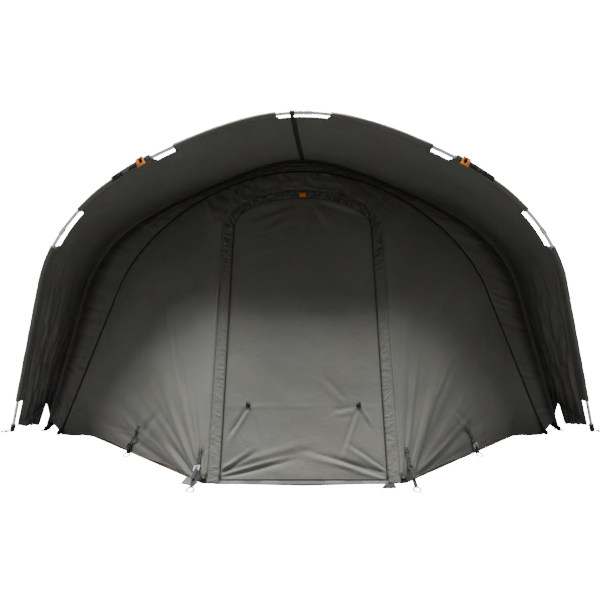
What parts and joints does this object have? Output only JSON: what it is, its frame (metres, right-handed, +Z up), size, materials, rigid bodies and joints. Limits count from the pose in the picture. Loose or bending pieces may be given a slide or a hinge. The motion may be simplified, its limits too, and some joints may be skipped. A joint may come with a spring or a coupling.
{
  "type": "fishing bivvy",
  "caption": "Hooped fabric shelter for anglers with a peaked front hood on an arched pole, a zipped front wall with a door, and a sewn-in groundsheet.",
  "frame": {"origin": "on the ground midway between the feet of the front rib, under the groundsheet", "axes": "+X to the right as seen from in front of the door, +Y from the door to the rear, +Z up"},
  "size_m": [3.0718, 2.9434, 1.561],
  "materials": {
    "tent_fabric": "matt woven polyester with a thin coating, dark olive grey",
    "pole_alloy": "drawn alloy tube, satin",
    "black_plastic": "moulded, satin",
    "black_webbing": "ribbed woven webbing",
    "orange_plastic": "moulded, satin",
    "groundsheet_cloth": "coated heavy cloth, khaki brown",
    "black_zip": "coil zip under a corded edge"
  },
  "bodies": {
    "root": {"hood_left_side": "tent_fabric", "hood_left_shoulder": "tent_fabric", "hood_left_crown": "tent_fabric", "hood_right_crown": "tent_fabric", "hood_right_shoulder": "tent_fabric", "hood_right_side": "tent_fabric", "main_sleeve": "tent_fabric", "rear_sleeve": "tent_fabric", "front_band_left": "tent_fabric", "front_band_top": "tent_fabric", "front_band_right": "tent_fabric", "door_panel": "tent_fabric", "door_strip": "tent_fabric", "front_wall_left": "tent_fabric", "front_wall_right": "tent_fabric", "door_header": "tent_fabric", "body_left": "tent_fabric", "body_crown": "tent_fabric", "body_right": "tent_fabric", "rear_left": "tent_fabric", "rear_middle": "tent_fabric", "rear_right": "tent_fabric", "front_pole_left_leg": "pole_alloy", "front_pole_left": "pole_alloy", "front_pole_right": "pole_alloy", "front_pole_right_leg": "pole_alloy", "main_pole": "pole_alloy", "rear_pole": "pole_alloy", "front_foot_left": "black_plastic", "front_foot_right": "black_plastic", "main_foot_left": "black_plastic", "main_foot_right": "black_plastic", "rear_foot_left": "black_plastic", "rear_foot_right": "black_plastic", "door_toggle_left": "black_plastic", "door_toggle_right": "black_plastic", "hood_webbing_left": "black_webbing", "hood_webbing_right": "black_webbing", "hood_centre_strap": "black_webbing", "corner_strap_left": "black_webbing", "corner_strap_right": "black_webbing", "side_strap_left": "black_webbing", "side_strap_right": "black_webbing", "hood_buckle_left": "orange_plastic", "hood_buckle_right": "orange_plastic", "door_tab": "orange_plastic", "groundsheet": "groundsheet_cloth", "front_zip_arch": "black_zip"}
  },
  "joints": []
}
